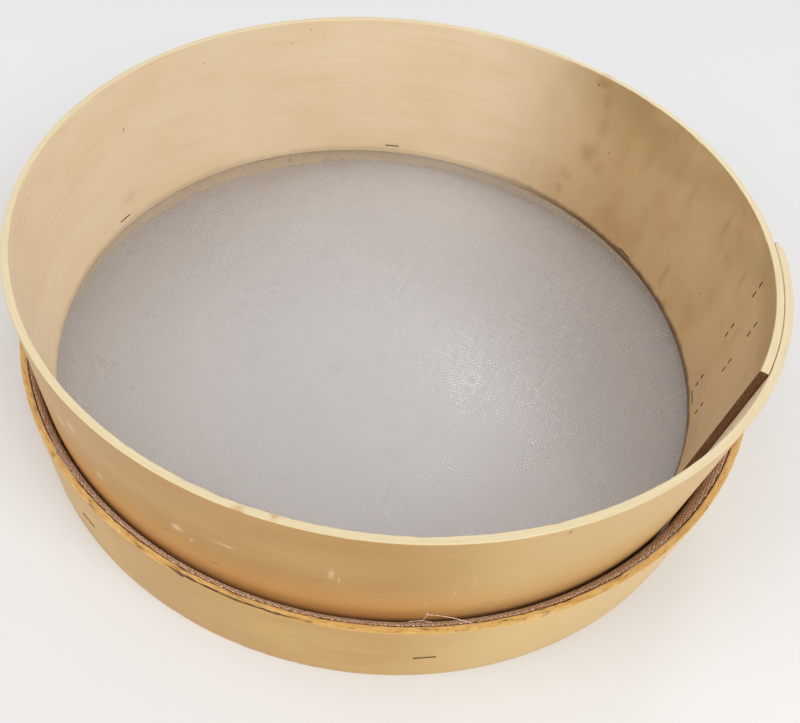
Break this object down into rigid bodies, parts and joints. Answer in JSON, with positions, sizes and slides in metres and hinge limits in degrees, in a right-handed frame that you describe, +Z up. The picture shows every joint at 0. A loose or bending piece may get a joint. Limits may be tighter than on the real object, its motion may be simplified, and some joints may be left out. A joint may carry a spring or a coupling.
{
  "type": "hand sieve",
  "caption": "Round bentwood hand sieve: a tall hoop and a short outer hoop grip a stretched round of fine woven wire cloth.",
  "frame": {"origin": "centre of the footprint, on the ground", "axes": "+Z up through the rim; +X towards the upper hoop's lap, which is 6 to 34 degrees clockwise of it"},
  "size_m": [0.4191, 0.4212, 0.12],
  "materials": {
    "pale_ply": "bare, smooth, slightly stained",
    "golden_ply": "bare, smooth, chipped edge",
    "wire": "bright drawn wire",
    "staple": "dark, lightly rusted"
  },
  "bodies": {
    "root": {"upper_hoop": "pale_ply", "lower_hoop": "golden_ply", "wire_cloth": "wire", "ring_staples_inside": "staple", "ring_staples_outside": "staple", "upper_lap_staples": "staple", "lower_lap_staples": "staple"}
  },
  "joints": []
}
